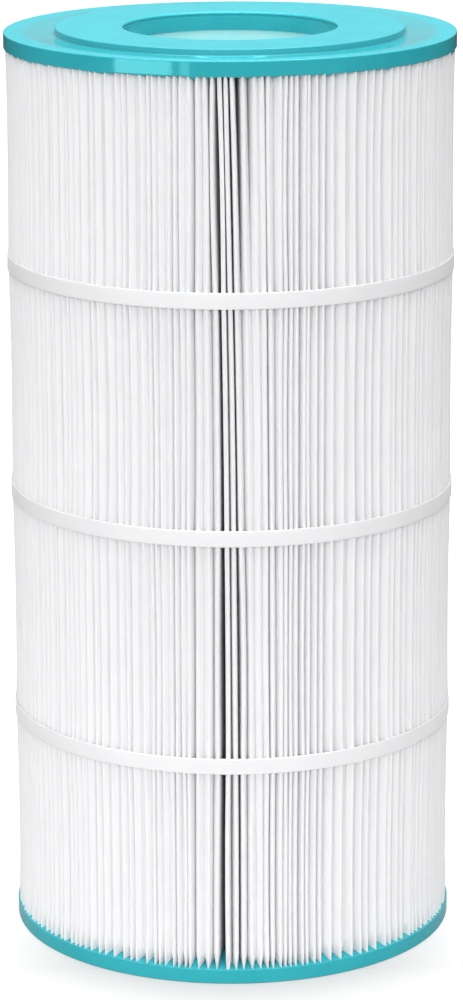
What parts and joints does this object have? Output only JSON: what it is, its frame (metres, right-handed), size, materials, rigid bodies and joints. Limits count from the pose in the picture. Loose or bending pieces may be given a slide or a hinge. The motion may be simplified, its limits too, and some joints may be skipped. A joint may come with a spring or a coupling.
{
  "type": "filter cartridge",
  "caption": "Cylindrical pleated filter cartridge with open-centre end caps, a folded fabric pack held by bands, and a windowed core, for cleaning pool or spa water.",
  "frame": {"origin": "centre of the bottom end cap's resting face", "axes": "+Z along the cartridge's axis, up from the bottom cap to the raised face; -Y points to the side seam"},
  "size_m": [0.2144, 0.2144, 0.4413],
  "materials": {
    "cast_urethane": "teal cast polyurethane, satin gloss, slightly flexible",
    "filter_fabric": "white spun-bonded polyester, calendered, stiff",
    "band_strap": "white plastic strap, satin",
    "hot_melt_adhesive": "milky hot-melt adhesive",
    "core_plastic": "white moulded polypropylene, satin"
  },
  "bodies": {
    "root": {"top_end_cap": "cast_urethane", "bottom_end_cap": "cast_urethane", "pleated_media": "filter_fabric", "side_seam_bead": "hot_melt_adhesive", "band_lower": "band_strap", "band_middle": "band_strap", "band_upper": "band_strap", "glue_bead_lower": "hot_melt_adhesive", "glue_bead_middle": "hot_melt_adhesive", "glue_bead_upper": "hot_melt_adhesive", "core_section_1": "core_plastic", "core_section_2": "core_plastic", "core_section_3": "core_plastic", "core_section_4": "core_plastic", "core_section_5": "core_plastic", "core_section_6": "core_plastic"}
  },
  "joints": []
}
